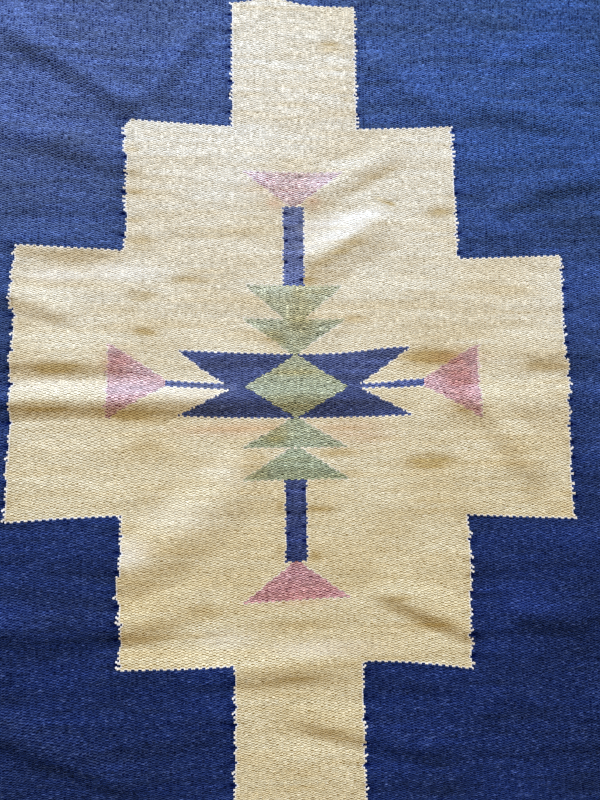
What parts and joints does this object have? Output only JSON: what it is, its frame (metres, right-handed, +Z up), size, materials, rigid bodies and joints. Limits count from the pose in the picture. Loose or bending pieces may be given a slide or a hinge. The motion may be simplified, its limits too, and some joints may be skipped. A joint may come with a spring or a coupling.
{
  "type": "mexican kilim rug, cut length",
  "caption": "Flat-woven wool kilim length with a stepped cream medallion on indigo, lying open in soft storage creases.",
  "frame": {"origin": "on the surface that the cloth lies on, under the middle of its outline", "axes": "+Z up out of the cloth's face, +Y along the warp, which is the long way, +X along the weft"},
  "size_m": [0.704, 0.8808, 0.0086],
  "materials": {
    "wool_weft": "matt handspun wool weft, weft-faced plain weave"
  },
  "bodies": {
    "root": {"kilim_cloth": "wool_weft"}
  },
  "joints": []
}
